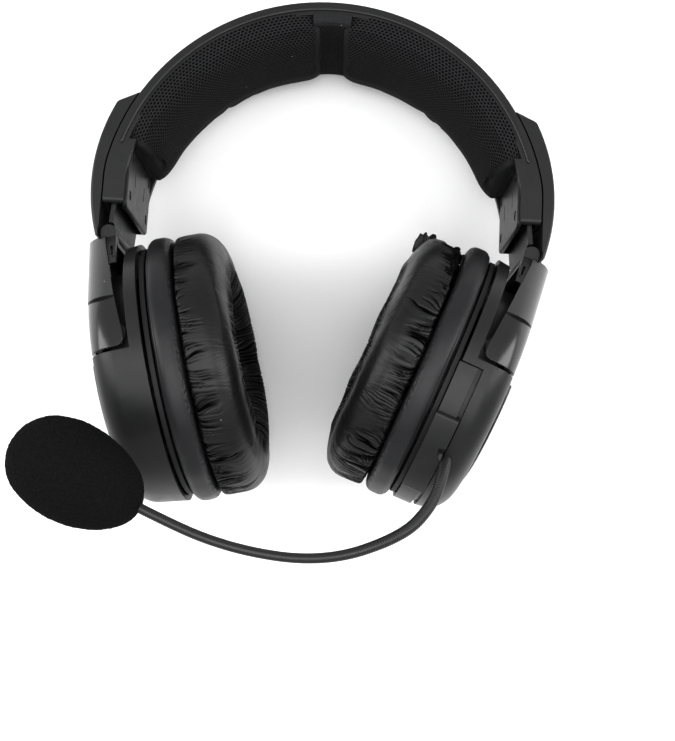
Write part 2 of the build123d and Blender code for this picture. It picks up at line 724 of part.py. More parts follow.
def port_opening():
    return around_x(block(CONTROL_X - 1.9, CONTROL_X + 1.9, -4.4, 4.4, 40, 60), JACK_ANGLE)


def charge_port():
    """Flat charging socket with a tongue."""
    body = block(CONTROL_X - 1.6, CONTROL_X + 1.6, -4.1, 4.1, 40.0, 47.6)
    body -= block(CONTROL_X - 1.2, CONTROL_X + 1.2, -3.7, 3.7, 41.0, 50)
    body += block(CONTROL_X - 0.3, CONTROL_X + 0.3, -2.6, 2.6, 40.5, 46.6)
    return on_cup(around_x(body, JACK_ANGLE), "right")


# ---------------------------------------------------------------- assembly

def headset_pieces():
    """Every node's solids in the headset frame."""
    pieces = {
        "headband_shell": headband_shell(),
        "headband_liner": headband_liner(),
        "headband_spring": headband_spring(),
        "headband_wire": headband_wire(),
    }
    builders = {
        "headband_pad": headband_pad, "housing_cover": housing_cover,
        "slider_block": slider_block, "block_screws": block_screws,
        "slider_arm": slider_arm, "fold_pin": fold_pin,
        "yoke": yoke, "yoke_plate": yoke_plate, "pivot_pins": pivot_pins,
        "cup_shell": cup_shell, "outer_cap": outer_cap, "baffle": baffle,
        "driver": driver, "driver_grille": driver_grille, "base_ring": base_ring,
        "ear_pad": ear_pad, "cup_screws": cup_screws,
    }
    for side in SIDES:
        for name, builder in builders.items():
            pieces[f"{side}_{name}"] = builder(side)
    pieces["mic_track"] = mic_track()
    pieces["mic_pod"] = mic_pod()
    pieces["mic_boom"] = mic_boom()
    pieces["mic_capsule"] = mic_capsule()
    pieces["mic_foam"] = mic_foam()
    pieces["volume_wheel"] = volume_wheel()
    pieces["volume_shaft"] = volume_shaft()
    pieces["power_button"] = button(POWER_ANGLE)
    pieces["mute_button"] = button(MUTE_ANGLE)
    pieces["audio_jack"] = audio_jack()
    pieces["main_board"] = main_board()
    pieces["radio_board"] = radio_board()
    pieces["battery"] = battery()
    pieces["charge_port"] = charge_port()
    return pieces


def as_solids(piece):
    """A node's separate solids."""
    parts = piece if isinstance(piece, list) else [piece]
    return [solid for part in parts for solid in part.solids()]


def lying_tilt():
    """Angle that the headset leans back when the cups and the band's back edge both rest."""
    crown = BAND_CENTRE_Y + BAND_RADIUS
    low_cup = RING_RADIUS
    reach = math.hypot(crown, BAND_HALF_WIDTH)
    return math.degrees(math.asin(low_cup / reach) - math.atan2(BAND_HALF_WIDTH, crown))


def row_location(solids):
    """Headset frame to row frame, from the footprint of all the solids."""
    lean = Rot(-lying_tilt(), 0, 0)
    box = Compound(children=[lean * solid for solid in solids]).bounding_box()
    middle = (box.min + box.max) / 2
    return Pos(-middle.X, -middle.Y, -box.min.Z) * lean


os.makedirs(OUT, exist_ok=True)
nodes = {name: as_solids(piece) for name, piece in headset_pieces().items()}
to_row = row_location([solid for solids in nodes.values() for solid in solids])
for name, solids in nodes.items():
    placed = [to_row * solid for solid in solids]
    shape = placed[0] if len(placed) == 1 else Compound(children=placed)
    shape.label = name
    export_step(shape, f"{OUT}/{name}.step")
print(len(nodes), "nodes written, leaning back", round(lying_tilt(), 2), "degrees")
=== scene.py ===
"""Looks of the gaming headset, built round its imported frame."""
import json
import math

import bmesh
import bpy
import numpy as np
from mathutils import Matrix, Vector, noise


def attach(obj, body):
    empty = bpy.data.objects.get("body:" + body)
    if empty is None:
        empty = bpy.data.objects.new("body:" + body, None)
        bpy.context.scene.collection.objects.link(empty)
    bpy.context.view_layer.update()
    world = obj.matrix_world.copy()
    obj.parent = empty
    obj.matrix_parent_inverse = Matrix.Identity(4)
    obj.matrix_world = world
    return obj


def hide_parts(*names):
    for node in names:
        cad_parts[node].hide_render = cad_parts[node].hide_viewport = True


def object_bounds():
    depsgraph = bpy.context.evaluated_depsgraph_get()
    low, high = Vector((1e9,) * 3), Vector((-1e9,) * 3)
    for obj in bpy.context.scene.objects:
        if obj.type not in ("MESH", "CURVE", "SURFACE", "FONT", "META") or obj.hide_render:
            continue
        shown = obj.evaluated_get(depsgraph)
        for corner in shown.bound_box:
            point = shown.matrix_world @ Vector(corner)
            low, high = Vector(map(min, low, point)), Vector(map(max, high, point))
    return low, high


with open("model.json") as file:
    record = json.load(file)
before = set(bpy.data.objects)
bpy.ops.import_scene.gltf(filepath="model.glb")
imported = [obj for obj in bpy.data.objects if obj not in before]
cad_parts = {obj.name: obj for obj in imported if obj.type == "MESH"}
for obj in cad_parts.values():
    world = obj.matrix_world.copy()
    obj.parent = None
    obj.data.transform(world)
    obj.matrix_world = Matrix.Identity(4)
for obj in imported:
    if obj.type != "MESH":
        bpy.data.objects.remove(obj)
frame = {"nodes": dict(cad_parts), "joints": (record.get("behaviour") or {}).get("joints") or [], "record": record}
cad_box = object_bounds()

MM = 0.001
record = frame["record"]
mounts = {mount["name"]: mount for mount in record["mounts"]}
joints = {joint["name"]: joint for joint in frame["joints"]}
slots = {item["node"]: item["material_slot"] for item in record["subparts"]}

# Sizes of the soft parts, in millimetres, in the cup frame: x outward from the head,
# y up, z to the front, with the origin at the seam between ear pad and base ring.
EAR_PAD_DEPTH = 21.5
EAR_PAD_RADIUS = 52.3
EAR_PAD_OPENING = 25.0
EAR_PAD_INSET = 0.9         # the cover lies this far inside those two radii
RING_DEPTH = 10.2
RING_RADIUS = 52.8
RING_INNER = 41.6
# The headband, in the headset frame: x to the wearer's left, y to the crown, z to the front.
CROWN_HEIGHT = 128.5
BAND_CENTRE_Y = 57.5
PAD_INNER = 71.0
PAD_OUTER = 79.9
PAD_ANGLES = (16.9, 87.3)   # of a pad's two ends, above horizontal
BINDING_RADIUS = 82.4
BINDING_HALF_WIDTH = 24.2

QUARTER_TURN = math.pi / 2
FULL_TURN = 2 * math.pi


# ---------------------------------------------------------------- frames

def axes_matrix(x, y, z, origin):
    """Matrix from millimetres along three axes to metres in the row frame."""
    columns = [axis * MM for axis in (x, y, z)]
    return np.array([[*(c[i] for c in columns), origin[i]] for i in range(3)])


front = -Vector(joints["left_fold"]["axis"])
crownward = -Vector(mounts["head_crown"]["axis"])
leftward = crownward.cross(front)
head_origin = Vector(mounts["head_crown"]["pos_m"]) - crownward * CROWN_HEIGHT * MM
HEAD = axes_matrix(leftward, crownward, front, head_origin)


def cup_matrix(side):
    """Cup frame to row frame. The right cup's frame is mirrored."""
    seat = mounts[f"{side}_ear_seat"]
    outward = -Vector(seat["axis"])
    up = front.cross(outward) if side == "left" else outward.cross(front)
    return axes_matrix(outward, up, front, Vector(seat["pos_m"]) + outward * EAR_PAD_DEPTH * MM)


def placed(points, matrix):
    """Points in millimetres moved from their own frame to metres in the row frame."""
    return np.asarray(points, float) @ matrix[:, :3].T + matrix[:, 3]


# ---------------------------------------------------------------- meshes

def grid_mesh(name, points, wrap_u=False, wrap_v=True, uv=None, caps=False):
    """Mesh object over a grid of points in the row frame, with a fan over each open end."""
    rows, columns = points.shape[:2]
    verts = points.reshape(-1, 3)
    i = np.arange(rows if wrap_u else rows - 1)[:, None]
    j = np.arange(columns if wrap_v else columns - 1)[None, :]
    i1, j1 = (i + 1) % rows, (j + 1) % columns
    quads = np.stack([i * columns + j, i1 * columns + j, i1 * columns + j1, i * columns + j1], -1)
    faces = quads.reshape(-1, 4).tolist()
    corners = np.stack(np.broadcast_arrays(
        i + 0 * j, j + 0 * i, i + 1 + 0 * j, j + 1 + 0 * i), -1).reshape(-1, 4)
    if caps:
        for ring in (0, rows - 1):
            centre = len(verts)
            verts = np.vstack([verts, points[ring].mean(0)])
            base = ring * columns
            faces += [[base + k, base + (k + 1) % columns, centre] for k in range(columns)]
    mesh = bpy.data.meshes.new(name)
    mesh.from_pydata(verts.tolist(), [], faces)
    if uv is not None:
        layer = mesh.uv_layers.new(name="UVMap")
        u0, v0, u1, v1 = corners.T
        loops = np.stack([uv(u0, v0), uv(u1, v0), uv(u1, v1), uv(u0, v1)], 1).reshape(-1, 2)
        flat = np.zeros((len(mesh.loops), 2), np.float32)
        flat[:len(loops)] = loops
        layer.data.foreach_set("uv", flat.ravel())
    tool = bmesh.new()
    tool.from_mesh(mesh)
    bmesh.ops.recalc_face_normals(tool, faces=tool.faces)
    tool.to_mesh(mesh)
    tool.free()
    mesh.polygons.foreach_set("use_smooth", np.ones(len(mesh.polygons), bool))
    piece = bpy.data.objects.new(name, mesh)
    bpy.context.scene.collection.objects.link(piece)
    return piece


def mark(piece, name, values):
    """Stores a number for each vertex, which the materials read."""
    flat = np.zeros(len(piece.data.vertices), np.float32)
    flat[:values.size] = values.ravel()
    piece.data.attributes.new(name, "FLOAT", "POINT").data.foreach_set("value", flat)


def grid_normals(points, wrap_u=False, wrap_v=True):
    """Unit normals of a grid of points."""
    def along(axis, wrap):
        if wrap:
            return np.roll(points, -1, axis) - np.roll(points, 1, axis)
        return np.gradient(points, axis=axis)
    normal = np.cross(along(0, wrap_u), along(1, wrap_v))
    return normal / np.maximum(np.linalg.norm(normal, axis=-1, keepdims=True), 1e-12)


def outward_normals(points, wrap_u=False):
    """Unit normals of a grid that closes round its columns, pointing out of it."""
    normal = grid_normals(points, wrap_u)
    middle = points.mean(1, keepdims=True)
    inward = ((points - middle) * normal).sum() < 0
    return -normal if inward else normal


def refined(points, steps, axis, wrap):
    """A grid with more points along one axis, on a smooth curve through the old ones."""
    if wrap:
        a, c, d = (np.roll(points, shift, axis) for shift in (1, -1, -2))
        b = points
    else:
        edge = np.take(points, [0], axis), np.take(points, [-1], axis)
        long = np.concatenate([edge[0], points, edge[1]], axis)
        count = points.shape[axis] - 1
        a, b, c, d = (np.take(long, range(k, k + count), axis) for k in range(4))
    parts = []
    for step in range(steps):
        t = step / steps
        parts.append(0.5 * (2 * b + (c - a) * t + (2 * a - 5 * b + 4 * c - d) * t * t
                            + (3 * b - a - 3 * c + d) * t ** 3))
    fine = np.stack(parts, axis + 1)
    shape = list(points.shape)
    shape[axis] = fine.shape[axis] * steps
    fine = fine.reshape(shape)
    return fine if wrap else np.concatenate([fine, edge[1]], axis)


def girth(points):
    """Distance round a grid's cross-section up to each column, averaged along the grid."""
    steps = np.linalg.norm(np.roll(points, -1, 1) - points, axis=-1).mean(0)
    return np.concatenate([[0], np.cumsum(steps)])


def noise_field(points, scale, seed=0.0):
    """Smooth noise from -1 to 1 at each point of an array, at a number of cells per unit."""
    flat = np.asarray(points, float).reshape(-1, 3) * scale + seed
    values = np.fromiter((noise.noise(p) for p in flat.tolist()), float, len(flat))
    return values.reshape(np.shape(points)[:-1])


def ring_noise(around, cells, along, seed):
    """Noise over a ring: a number of cells per radian, and a second coordinate across it."""
    where = np.stack([np.cos(around) * cells, np.sin(around) * cells, along], -1)
    return noise_field(where, 1.0, seed)


def bell(x, centre, width):
    return np.exp(-((x - centre) / width) ** 2)


def full_turn(count):
    """Evenly spaced angles round a circle."""
    return np.linspace(0, FULL_TURN, count, endpoint=False)


def superellipse(angle, power):
    """(cos, sin) pushed out to the corners of a rounded square."""
    c, s = np.cos(angle), np.sin(angle)
    return np.sign(c) * np.abs(c) ** (2 / power), np.sign(s) * np.abs(s) ** (2 / power)


def smoothstep(low, high, x):
    t = np.clip((x - low) / (high - low), 0, 1)
    return t * t * (3 - 2 * t)


CLOTH_FRAMES = 20
CLOTH_PRESSURE = 4.0


def inflated(points, pinned, cap_mm, wrap_u, spare):
    """Grid of points, in the row frame, blown up as padded fabric. Pinned ones stay."""
    scene = bpy.context.scene
    cloth_piece = grid_mesh("cloth_work", points, wrap_u=wrap_u, caps=not wrap_u)
    group = cloth_piece.vertex_groups.new(name="pinned")
    group.add(np.flatnonzero(pinned.ravel()).tolist(), 1.0, "REPLACE")
    cloth = cloth_piece.modifiers.new("cloth", "CLOTH")
    settings = cloth.settings
    settings.quality = 6
    settings.mass = 0.1
    settings.use_pressure = True
    settings.uniform_pressure_force = CLOTH_PRESSURE
    settings.shrink_min = -spare
    settings.bending_stiffness = 0.3
    settings.vertex_group_mass = "pinned"
    settings.effector_weights.gravity = 0.0
    cloth.collision_settings.use_collision = False
    cloth.point_cache.frame_end = CLOTH_FRAMES
    for number in range(1, CLOTH_FRAMES + 1):
        scene.frame_set(number)
    graph = bpy.context.evaluated_depsgraph_get()
    result = cloth_piece.evaluated_get(graph).data
    moved = np.zeros(len(result.vertices) * 3)
    result.vertices.foreach_get("co", moved)
    moved = moved.reshape(-1, 3)[:points.shape[0] * points.shape[1]].reshape(points.shape)
    scene.frame_set(1)
    bpy.data.objects.remove(cloth_piece)
    shift = moved - points
    length = np.linalg.norm(shift, axis=-1, keepdims=True)
    return points + shift * np.minimum(1.0, cap_mm * MM / np.maximum(length, 1e-9))


# ---------------------------------------------------------------- materials

class Shader:
    """A node material with one Principled shader, and short ways to add nodes to it."""

    def __init__(self, name):
        self.material = bpy.data.materials.new(name)
        self.material.use_nodes = True
        self.tree = self.material.node_tree
        self.shader = self.tree.nodes["Principled BSDF"]
        self.coords = self.tree.nodes.new("ShaderNodeTexCoord").outputs["Object"]

    def node(self, kind, inputs=None, **settings):
        made = self.tree.nodes.new(kind)
        for key, value in settings.items():
            setattr(made, key, value)
        for key, value in (inputs or {}).items():
            if isinstance(value, bpy.types.NodeSocket):
                self.tree.links.new(value, made.inputs[key])
            else:
                made.inputs[key].default_value = value
        return made

    def noise(self, per_metre, detail=3.0, roughness=0.55, coords=None):
        made = self.node("ShaderNodeTexNoise", {
            "Vector": coords or self.coords, "Scale": per_metre, "Detail": detail,
            "Roughness": roughness})
        return made.outputs["Fac"]

    def cells(self, per_metre, feature="F1", coords=None):
        return self.node("ShaderNodeTexVoronoi", {
            "Vector": coords or self.coords, "Scale": per_metre}, feature=feature)

    def math(self, operation, a, b=0.0, clamp=False):
        made = self.node("ShaderNodeMath", {0: a, 1: b}, operation=operation, use_clamp=clamp)
        return made.outputs[0]

    def spread(self, value, low, high, to_low, to_high):
        made = self.node("ShaderNodeMapRange", {
            "Value": value, "From Min": low, "From Max": high, "To Min": to_low, "To Max": to_high})
        return made.outputs[0]

    def mixed(self, fac, first, second):
        made = self.node("ShaderNodeMix", data_type="RGBA")
        for index, value in ((0, fac), (6, first), (7, second)):
            if isinstance(value, bpy.types.NodeSocket):
                self.tree.links.new(value, made.inputs[index])
            else:
                made.inputs[index].default_value = value
        return made.outputs[2]

    def bump(self, height, depth_mm, strength=1.0, normal=None):
        inputs = {"Height": height, "Distance": depth_mm * MM, "Strength": strength}
        if normal is not None:
            inputs["Normal"] = normal
        return self.node("ShaderNodeBump", inputs).outputs[0]

    def rounded_edges(self, radius_mm):
        return self.node("ShaderNodeBevel", {"Radius": radius_mm * MM}, samples=4).outputs[0]

    def dust(self, colour, share=0.985):
        """Adds sparse pale specks to a colour."""
        found = self.cells(260.0)
        size = self.math("LESS_THAN", found.outputs["Distance"], 0.055)
        split = self.node("ShaderNodeSeparateColor", {0: found.outputs["Color"]})
        chosen = self.math("GREATER_THAN", split.outputs[0], share)
        return self.mixed(self.math("MULTIPLY", size, chosen), colour, (0.35, 0.35, 0.34, 1))

    def set(self, **values):
        for key, value in values.items():
            socket = self.shader.inputs[key.replace("_", " ")]
            if isinstance(value, bpy.types.NodeSocket):
                self.tree.links.new(value, socket)
            else:
                socket.default_value = value
        return self.material


def grey(value, blue=1.06):
    return (value, value * 1.01, value * blue, 1.0)


def plastic(name, value, rough, grain_mm=0.02, edges=0.35, coat=0.0, spread=0.05, shine=0.34):
    """Moulded plastic: fine grain, uneven sheen, soft edges and a little dust."""
    s = Shader(name)
    blotches = s.noise(45.0, detail=4.0)
    colour = s.dust(s.mixed(blotches, grey(value * 0.8), grey(value * 1.25)))
    normal = s.bump(s.noise(2600.0, detail=2.0), grain_mm, 0.5, s.rounded_edges(edges))
    scuffs = s.noise(160.0, detail=6.0, roughness=0.7)
    return s.set(Base_Color=colour, Roughness=s.spread(scuffs, 0.3, 0.7, rough - spread, rough + spread),
                 Normal=normal, Coat_Weight=coat, Coat_Roughness=0.16, Specular_IOR_Level=shine)


LEATHER_SHINE = 0.36


def leather(name, value, rough, grain_mm=0.05, shaded_creases=True, torn=False):
    """Leatherette: pebbled grain, creases with painted shade (near-black) and a duller finish, worn crests, with
    bare cloth where torn.
    """
    s = Shader(name)
    pebbles = s.cells(1500.0, "DISTANCE_TO_EDGE").outputs["Distance"]
    fine = s.noise(900.0, detail=4.0)
    worn = s.noise(70.0, detail=5.0)
    colour = s.mixed(worn, grey(value * 0.75, 1.1), grey(value * 1.35, 1.1))
    height = s.math("ADD", s.math("MULTIPLY", pebbles, 0.7), fine)
    normal = s.bump(height, grain_mm, 0.6)
    sheen = s.spread(worn, 0.3, 0.7, rough - 0.07, rough + 0.08)
    shine = LEATHER_SHINE
    if shaded_creases:
        crease_and_shade = s.node("ShaderNodeAttribute", attribute_name="crease_and_shade").outputs["Fac"]
        # Painted shade: the creases are painted near-black and given less specular, as if in shade; they are also
        # made rougher.
        colour = s.mixed(s.math("MULTIPLY", crease_and_shade, 1.6, clamp=True), colour, grey(0.0006))
        sheen = s.math("ADD", sheen, s.math("MULTIPLY", crease_and_shade, 0.35), clamp=True)
        shine = s.spread(crease_and_shade, 0.0, 0.7, shine, 0.02)
    if torn:
        mask = s.node("ShaderNodeAttribute", attribute_name="torn").outputs["Fac"]
        specks = s.cells(420.0)
        small = s.math("LESS_THAN", specks.outputs["Distance"], 0.09)
        fabric = s.mixed(small, grey(0.004), grey(0.12))
        colour = s.mixed(mask, colour, fabric)
        sheen = s.math("ADD", sheen, s.math("MULTIPLY", mask, 0.4), clamp=True)
        weave = s.noise(1500.0, detail=2.0)
        normal = s.bump(s.math("MULTIPLY", weave, mask), 0.25, 0.8, normal)
        shine = s.math("MULTIPLY", shine, s.spread(mask, 0.0, 1.0, 1.0, 0.2))
    return s.set(Base_Color=s.dust(colour, 0.97), Roughness=sheen, Normal=normal,
                 Specular_IOR_Level=shine)


HOLE_PITCH_ALONG = 1.55
HOLE_PITCH_ACROSS = 2.1


def spacer_mesh():
    """Knitted mesh with staggered holes in the middle and a close knit along the borders."""
    s = Shader("pad_mesh")
    place = s.node("ShaderNodeUVMap", uv_map="UVMap").outputs[0]
    split = s.node("ShaderNodeSeparateXYZ", {0: place})
    along, across = split.outputs[0], split.outputs[1]
    row = s.math("DIVIDE", across, HOLE_PITCH_ACROSS / 2)
    shift = s.math("MULTIPLY", s.math("MODULO", s.math("FLOOR", row), 2.0), 0.5)
    column = s.math("ADD", s.math("DIVIDE", along, HOLE_PITCH_ALONG), shift)
    x = s.math("SUBTRACT", s.math("FRACT", column), 0.5)
    y = s.math("SUBTRACT", s.math("FRACT", row), 0.5)
    far = s.math("SQRT", s.math("ADD", s.math("MULTIPLY", x, x), s.math("MULTIPLY", y, y)))
    hole = s.spread(far, 0.27, 0.40, 1.0, 0.0)
    inside = s.node("ShaderNodeAttribute", attribute_name="holes").outputs["Fac"]
    hole = s.math("MULTIPLY", hole, inside)
    knit = s.noise(1400.0, detail=3.0)
    colour = s.mixed(knit, grey(0.012), grey(0.042))
    # Painted shade: the open holes are painted near-black, standing in for the shade inside them.
    colour = s.mixed(hole, colour, grey(0.001))
    height = s.math("SUBTRACT", s.math("MULTIPLY", knit, 0.35), hole)
    normal = s.bump(height, 0.5, 0.9)
    return s.set(Base_Color=s.dust(colour, 0.90), Roughness=0.92, Normal=normal,
                 Specular_IOR_Level=0.12)


def foam_material():
    s = Shader("foam")
    pores = s.cells(1100.0).outputs["Distance"]
    tone = s.mixed(s.noise(1300.0, detail=3.0), grey(0.004), grey(0.014))
    normal = s.bump(pores, 0.35, 0.9)
    return s.set(Base_Color=s.dust(tone, 0.96), Roughness=1.0, Normal=normal,
                 Specular_IOR_Level=0.06)


def rubber(name, value, rough):
    s = Shader(name)
    tone = s.mixed(s.noise(220.0, detail=4.0), grey(value * 0.75), grey(value * 1.3))
    normal = s.bump(s.noise(1800.0, detail=2.0), 0.03, 0.5)
    return s.set(Base_Color=s.dust(tone, 0.98), Roughness=rough, Normal=normal)


def metal(name, value, rough):
    """Metal with fine drawn lines."""
    s = Shader(name)
    stretched = s.node("ShaderNodeMapping", {"Vector": s.coords, "Scale": (1.0, 1.0, 0.06)}).outputs[0]
    lines = s.noise(4200.0, detail=2.0, coords=stretched)
    colour = s.mixed(lines, grey(value * 0.8, 1.02), grey(value * 1.1, 1.02))
    return s.set(Base_Color=colour, Metallic=1.0, Roughness=s.spread(lines, 0.3, 0.7, rough, rough + 0.12),
                 Normal=s.bump(lines, 0.01, 0.4, s.rounded_edges(0.12)))


def circuit_board():
    s = Shader("board")
    tracks = s.node("ShaderNodeTexBrick", {
        "Vector": s.coords, "Scale": 160.0, "Mortar Size": 0.03, "Color1": (0.006, 0.05, 0.02, 1),
        "Color2": (0.008, 0.06, 0.025, 1), "Mortar": (0.02, 0.14, 0.05, 1)})
    return s.set(Base_Color=tracks.outputs["Color"], Roughness=0.3,
                 Normal=s.bump(tracks.outputs["Fac"], 0.05, 0.5))


MATERIALS = {
    "satin_plastic": plastic("satin_plastic", 0.017, 0.36),
    "inner_plastic": plastic("inner_plastic", 0.014, 0.6, grain_mm=0.05),
    "gloss_black": plastic("gloss_black", 0.012, 0.24, grain_mm=0.002, edges=0.4, coat=0.25,
                           spread=0.03, shine=0.5),
    "pad_mesh": spacer_mesh(),
    "leatherette": leather("leatherette", 0.010, 0.36),
    "smooth_leatherette": leather("smooth_leatherette", 0.015, 0.42, grain_mm=0.02, shaded_creases=False),
    "foam": foam_material(),
    "boom_rubber": rubber("boom_rubber", 0.014, 0.34),
    "button_rubber": rubber("button_rubber", 0.02, 0.6),
    "steel": metal("steel", 0.12, 0.35),
    "spring_steel": metal("spring_steel", 0.35, 0.35),
    "board": circuit_board(),
    "cell": metal("cell", 0.45, 0.4),
    "magnet": metal("magnet", 0.2, 0.45),
    "socket_metal": metal("socket_metal", 0.6, 0.2),
    "wire_sheath": rubber("wire_sheath", 0.02, 0.5),
}
TORN_LEATHER = leather("torn_leatherette", 0.010, 0.36, torn=True)


def dress(piece, slot, material=None):
    """Gives a piece the material of its slot in the record, or the material given."""
    piece.data.materials.clear()
    piece.data.materials.append(material or MATERIALS[slot])


for name, node in frame["nodes"].items():
    dress(node, slots[name])


# ---------------------------------------------------------------- ear pads

PAD_CLOTH_ROUND = 168
PAD_CLOTH_ACROSS = 36
SEAM_SQUARENESS = 6.0
HEAD_SIDE_SQUARENESS = 2.1
CREASE_SEEDS = {"left": 2.0, "right": 5.0}
CREASE_REACH = {"left": 13.0, "right": 9.5}     # from the seam, and longer at the bottom
EXTRA_REACH_BELOW = 8.0
CREASE_DEPTH = 0.6
CREASE_LAYERS = (
    # cells per radian, drift across the pad, weight
    (21.0, 0.15, 0.6),
    (34.0, 0.2, 1.0),
    (52.0, 0.3, 1.0),
)
SLUMP_SEEDS = {"left": 3.1, "right": 7.7}
SLUMP_DEPTH = 0.7
LOST_FILLING = 4.2          # depth of the hollow at the torn pad's top
TEAR_WIDTH = 14.0
FLAPS = (
    # angle above the front, x, foot radius, width, height, lean
    (86.0, -14.5, 42.0, 10.5, 9.5, 1.5),
    (74.0, -15.0, 43.0, 9.5, 7.0, 1.5),
    (80.0, -9.5, 43.0, 10.0, 6.0, -1.0),
    (77.0, -3.5, 44.0, 7.0, 5.0, 0.8),
)
FLAP_HALF_THICKNESS = 0.22


def pad_outline(points_round):
    """The ear pad's outline as evenly spaced angles, x and r: squarer at the seam side."""
    turn = np.linspace(0, FULL_TURN, 2880)
    c, s = superellipse(turn, np.where(np.cos(turn) > 0, SEAM_SQUARENESS, HEAD_SIDE_SQUARENESS))
    middle_r = (EAR_PAD_OPENING + EAR_PAD_RADIUS) / 2
    half_r = (EAR_PAD_RADIUS - EAR_PAD_OPENING) / 2 - EAR_PAD_INSET
    x = -EAR_PAD_DEPTH / 2 + 0.3 + (EAR_PAD_DEPTH / 2 + 0.2) * c
    r = middle_r + half_r * s * (1 - 0.05 * np.clip(c, 0, 1) ** 6)
    length = np.concatenate([[0], np.cumsum(np.hypot(np.diff(x), np.diff(r)))])
    even = np.linspace(0, length[-1], points_round, endpoint=False)
    return (np.interp(even, length, values) for values in (turn, x, r))


def ring_points(x, r, around):
    """Grid of cup-frame points: an outline swept round the cup. Angle 0 faces the front."""
    a = around[:, None]
    return np.stack([x + 0 * a, r * np.sin(a), r * np.cos(a)], -1)


def crease_lines(a, t, across, seed):
    """Thin branching lines that run from the seam towards the head."""
    bent = a + 0.05 * np.sin(5 * a + seed) * np.sin(t) + 0.02 * np.sin(17 * a + 3 * t)
    lines = np.zeros(a.shape)
    for cells, drift, weight in CREASE_LAYERS:
        value = ring_noise(bent, cells, drift * across, seed)
        lines += weight * np.clip(1 - np.abs(value) * 6.0, 0, 1) ** 1.6
    return lines


def creases(around, outline, side):
    """How deep the creases are over the pad, from 0 at the smooth crest."""
    turn, x, r = outline
    a, t = np.meshgrid(around, turn, indexing="ij")
    seed = CREASE_SEEDS[side]
    lines = crease_lines(a, t, x / 7 + r / 9 + 0 * a, seed)
    uneven = ring_noise(a, 11, 0 * a, seed + 3)
    low_side = smoothstep(0.3, -1.2, np.sin(a))
    reach = -CREASE_REACH[side] - EXTRA_REACH_BELOW * low_side
    outer = smoothstep(reach, -3.0, x + 9 * uneven) * smoothstep(36, 44, r)
    lip = smoothstep(-14.0, -18.5, x) * smoothstep(41, 33, r)
    inner = smoothstep(33, 30, r)
    patchy = 0.75 + 0.5 * ring_noise(a, 4, t, seed + 9)
    return lines * np.clip(patchy, 0.5, 1.2) * np.clip(outer + 0.8 * lip + inner + 0.08, 0, 1)


def slump(around, turn, side):
    """Shallow hollows and lumps, in millimetres, where the filling has settled."""
    a, t = np.meshgrid(around, turn, indexing="ij")
    lumps = SLUMP_DEPTH * ring_noise(a, 2.2, np.sin(t) * 1.2, SLUMP_SEEDS[side])
    if side == "left":
        lumps -= LOST_FILLING * bell(a, 1.6, 0.55) * bell(t, 1.5, 1.0)
    return lumps


def tear(around, outline):
    """Where the left pad's cover is torn away, at its top beside the base ring, and the depth there."""
    turn, x, r = outline
    a, t = np.meshgrid(around, turn, indexing="ij")
    ragged = ring_noise(a, 26, t * 5, 4.2)
    broad = ring_noise(a, 7, t * 2, 1.2)
    width = TEAR_WIDTH * smoothstep(0.1, 1.2, a) * smoothstep(2.1, 1.7, a)
    share = smoothstep(-0.5, 0.5, width - 1.0 + x + 6 * ragged + 5 * broad) * smoothstep(42, 46, r)
    crumple = ring_noise(a, 30, t * 9, 8.8)
    return share, share * (1.3 * crumple - 1.0)


def puffed_ring(side):
    """The ear pad's cover as a fine grid in the row frame, blown up but not yet creased."""
    _, x, r = pad_outline(PAD_CLOTH_ACROSS)
    around = full_turn(PAD_CLOTH_ROUND)
    coarse = ring_points(x, r, around)
    # The pad is pressed thinner at the front than at the back.
    coarse[..., 0] *= (0.97 - 0.10 * np.cos(around))[:, None]
    pinned = coarse[..., 0] > -2.0
    puffed = inflated(placed(coarse, cup_matrix(side)), pinned, cap_mm=1.1, wrap_u=True, spare=0.02)
    return refined(refined(puffed, 7, 0, True), 4, 1, True)


def ear_pad(side):
    """Puffed leatherette ring with radial creases; the left one is torn at the top."""
    fine = puffed_ring(side)
    around = full_turn(len(fine))
    outline = tuple(pad_outline(fine.shape[1]))
    crease_and_shade = creases(around, outline, side)
    depth = slump(around, outline[0], side) - CREASE_DEPTH * crease_and_shade
    torn = np.zeros(depth.shape)
    if side == "left":
        torn, torn_depth = tear(around, outline)
        depth += torn_depth
    fine = fine + outward_normals(fine, True) * depth[..., None] * MM
    piece = grid_mesh(f"{side}_ear_pad_cover", fine, wrap_u=True)
    mark(piece, "torn", torn)
    # The crease depth also goes to the material, which paints shade into the creases: painted shade.
    mark(piece, "crease_and_shade", crease_and_shade)
    dress(piece, "leatherette", TORN_LEATHER if side == "left" else None)
    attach(piece, f"{side}_cup")
    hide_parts(f"{side}_ear_pad")


